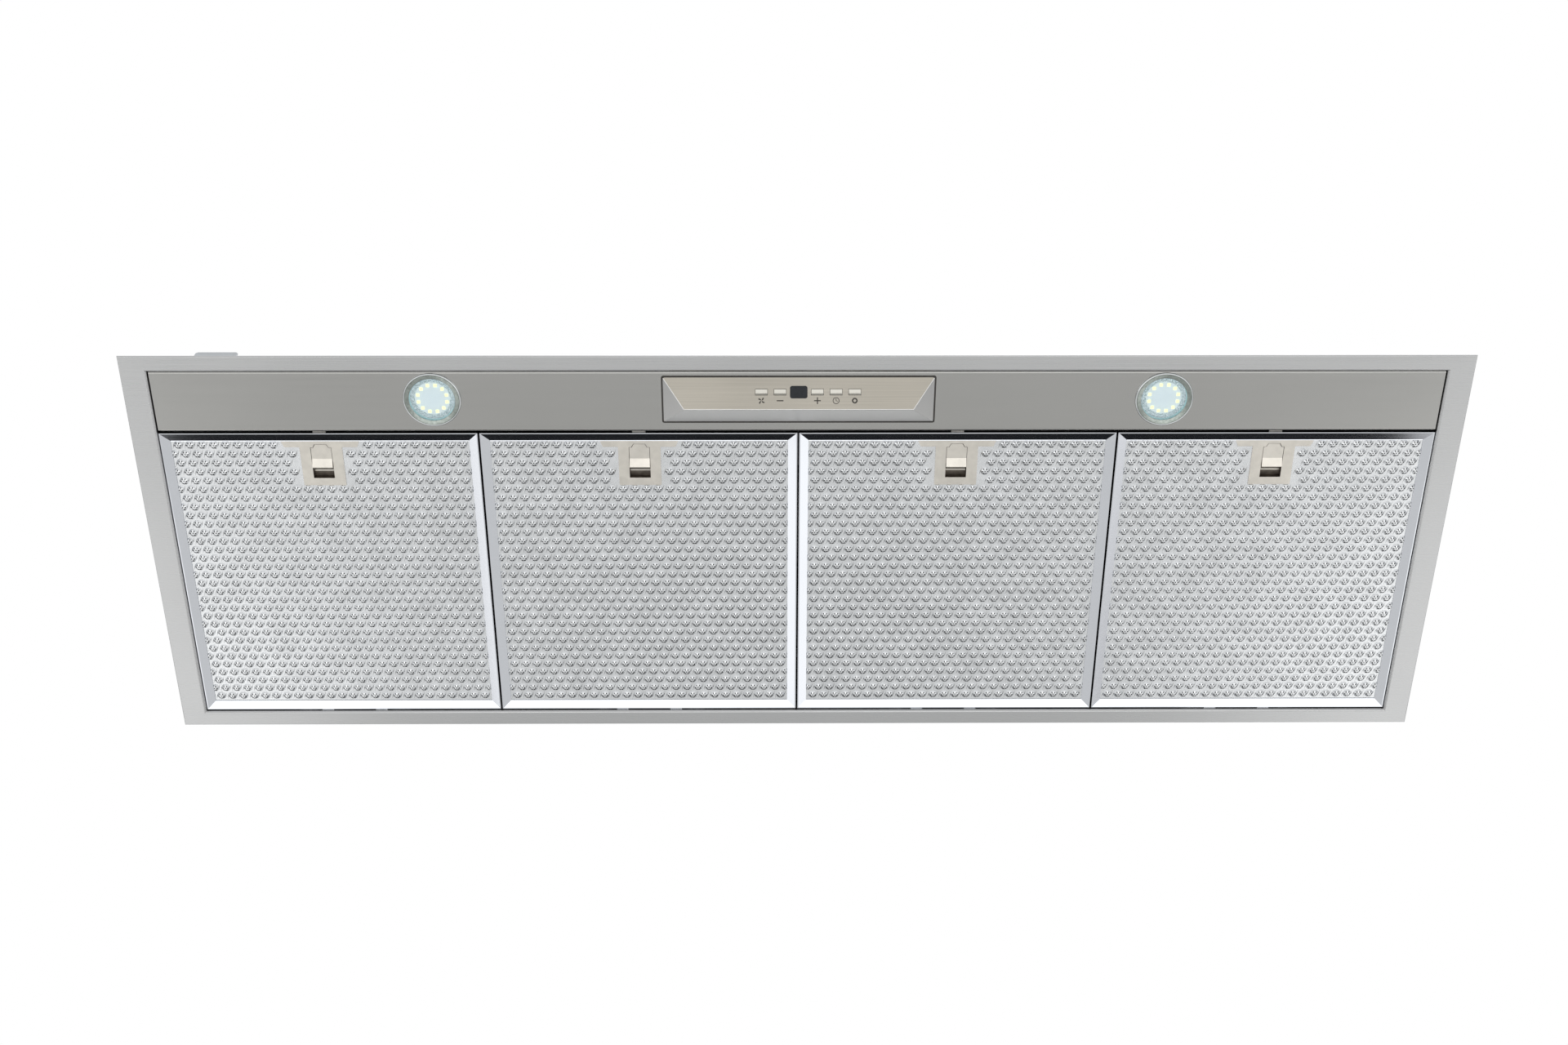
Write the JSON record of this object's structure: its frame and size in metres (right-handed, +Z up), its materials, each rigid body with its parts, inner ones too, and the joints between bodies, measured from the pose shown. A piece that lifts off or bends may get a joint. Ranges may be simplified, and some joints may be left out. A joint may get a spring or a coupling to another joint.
{
  "type": "range hood insert",
  "caption": "Built-in range hood insert: trim flange, fascia with spot lamps and push-button pod, latched grease filters, folded housing, centrifugal blower and duct collar with damper.",
  "frame": {"origin": "centre of the seating plane, where the trim flange meets the underside of the cabinet", "axes": "+Z up into the cabinet, -Y towards the cook, +X to the cook's right"},
  "size_m": [1.2, 0.396, 0.3413],
  "materials": {
    "flange": "brushed",
    "fascia": "brushed",
    "pod": "brushed",
    "housing": "satin",
    "filter": "satin",
    "filter_sheet": "satin",
    "latch": "satin",
    "spring": "polished",
    "button": "satin",
    "display": "gloss",
    "board": "satin",
    "plastic": "matte",
    "lamp_ring": "satin",
    "lamp_glass": "textured",
    "heat_sink": "satin",
    "steel": "polished",
    "motor": "satin",
    "galvanised": "satin"
  },
  "bodies": {
    "housing": {"trim_flange": "flange", "fascia_panel": "fascia", "control_pod": "pod", "housing_shell": "housing", "side_panel_left": "housing", "side_panel_right": "housing", "blower_box": "housing", "locating_tabs": "housing", "display_lens": "display", "control_board": "board", "control_cover": "plastic", "cable_gland": "plastic", "junction_box": "plastic", "lamp_rings": "lamp_ring", "lamp_lenses": "lamp_glass", "lamp_modules": "heat_sink", "scroll_housing": "galvanised", "inlet_ring": "galvanised", "motor_bracket": "galvanised", "duct_collar": "galvanised", "motor_body": "motor", "damper_pin": "steel", "screws": "steel", "capacitor": "heat_sink"},
    "filter_1": {"filter_frame_1": "filter", "filter_mesh_1": "filter_sheet", "latch_plate_1": "latch", "latch_spring_1": "spring", "filter_leaf_springs_1": "spring"},
    "latch_1": {"latch_slide_1": "latch"},
    "filter_2": {"filter_frame_2": "filter", "filter_mesh_2": "filter_sheet", "latch_plate_2": "latch", "latch_spring_2": "spring", "filter_leaf_springs_2": "spring"},
    "latch_2": {"latch_slide_2": "latch"},
    "filter_3": {"filter_frame_3": "filter", "filter_mesh_3": "filter_sheet", "latch_plate_3": "latch", "latch_spring_3": "spring", "filter_leaf_springs_3": "spring"},
    "latch_3": {"latch_slide_3": "latch"},
    "filter_4": {"filter_frame_4": "filter", "filter_mesh_4": "filter_sheet", "latch_plate_4": "latch", "latch_spring_4": "spring", "filter_leaf_springs_4": "spring"},
    "latch_4": {"latch_slide_4": "latch"},
    "key_fan": {"button_fan": "button"},
    "key_minus": {"button_minus": "button"},
    "key_plus": {"button_plus": "button"},
    "key_timer": {"button_timer": "button"},
    "key_light": {"button_light": "button"},
    "fan_wheel": {"impeller": "galvanised", "motor_shaft": "steel"},
    "damper_front": {"damper_flap_front": "galvanised"},
    "damper_rear": {"damper_flap_rear": "galvanised"}
  },
  "joints": [
    {"name": "filter_1_swing", "type": "hinge", "parent": "housing", "child": "filter_1", "pos_m": [-0.4326, 0.1825, 0.001], "axis": [1, 0, 0], "range_deg": [0, 60]},
    {"name": "latch_1_slide", "type": "slide", "parent": "filter_1", "child": "latch_1", "axis": [0, 1, 0], "range_m": [0, 0.005], "stiffness_N_per_m": 300, "springref_m": -0.003, "deforming": ["latch_spring_1"]},
    {"name": "filter_2_swing", "type": "hinge", "parent": "housing", "child": "filter_2", "pos_m": [-0.1442, 0.1825, 0.001], "axis": [1, 0, 0], "range_deg": [0, 60]},
    {"name": "latch_2_slide", "type": "slide", "parent": "filter_2", "child": "latch_2", "axis": [0, 1, 0], "range_m": [0, 0.005], "stiffness_N_per_m": 300, "springref_m": -0.003, "deforming": ["latch_spring_2"]},
    {"name": "filter_3_swing", "type": "hinge", "parent": "housing", "child": "filter_3", "pos_m": [0.1442, 0.1825, 0.001], "axis": [1, 0, 0], "range_deg": [0, 60]},
    {"name": "latch_3_slide", "type": "slide", "parent": "filter_3", "child": "latch_3", "axis": [0, 1, 0], "range_m": [0, 0.005], "stiffness_N_per_m": 300, "springref_m": -0.003, "deforming": ["latch_spring_3"]},
    {"name": "filter_4_swing", "type": "hinge", "parent": "housing", "child": "filter_4", "pos_m": [0.4326, 0.1825, 0.001], "axis": [1, 0, 0], "range_deg": [0, 60]},
    {"name": "latch_4_slide", "type": "slide", "parent": "filter_4", "child": "latch_4", "axis": [0, 1, 0], "range_m": [0, 0.005], "stiffness_N_per_m": 300, "springref_m": -0.003, "deforming": ["latch_spring_4"]},
    {"name": "press_fan", "type": "slide", "parent": "housing", "child": "key_fan", "axis": [0, 0.4061, 0.9138], "range_m": [0, 0.0008], "stiffness_N_per_m": 600, "springref_m": -0.0005},
    {"name": "press_minus", "type": "slide", "parent": "housing", "child": "key_minus", "axis": [0, 0.4061, 0.9138], "range_m": [0, 0.0008], "stiffness_N_per_m": 600, "springref_m": -0.0005},
    {"name": "press_plus", "type": "slide", "parent": "housing", "child": "key_plus", "axis": [0, 0.4061, 0.9138], "range_m": [0, 0.0008], "stiffness_N_per_m": 600, "springref_m": -0.0005},
    {"name": "press_timer", "type": "slide", "parent": "housing", "child": "key_timer", "axis": [0, 0.4061, 0.9138], "range_m": [0, 0.0008], "stiffness_N_per_m": 600, "springref_m": -0.0005},
    {"name": "press_light", "type": "slide", "parent": "housing", "child": "key_light", "axis": [0, 0.4061, 0.9138], "range_m": [0, 0.0008], "stiffness_N_per_m": 600, "springref_m": -0.0005},
    {"name": "fan_spin", "type": "hinge", "parent": "housing", "child": "fan_wheel", "pos_m": [0, 0.04, 0.182], "axis": [1, 0, 0], "continuous": true},
    {"name": "damper_front_swing", "type": "hinge", "parent": "housing", "child": "damper_front", "pos_m": [0, 0.09, 0.294], "axis": [-1, 0, 0], "range_deg": [0, 75]},
    {"name": "damper_rear_swing", "type": "hinge", "parent": "housing", "child": "damper_rear", "pos_m": [0, 0.09, 0.294], "axis": [1, 0, 0], "range_deg": [0, 75]}
  ]
}
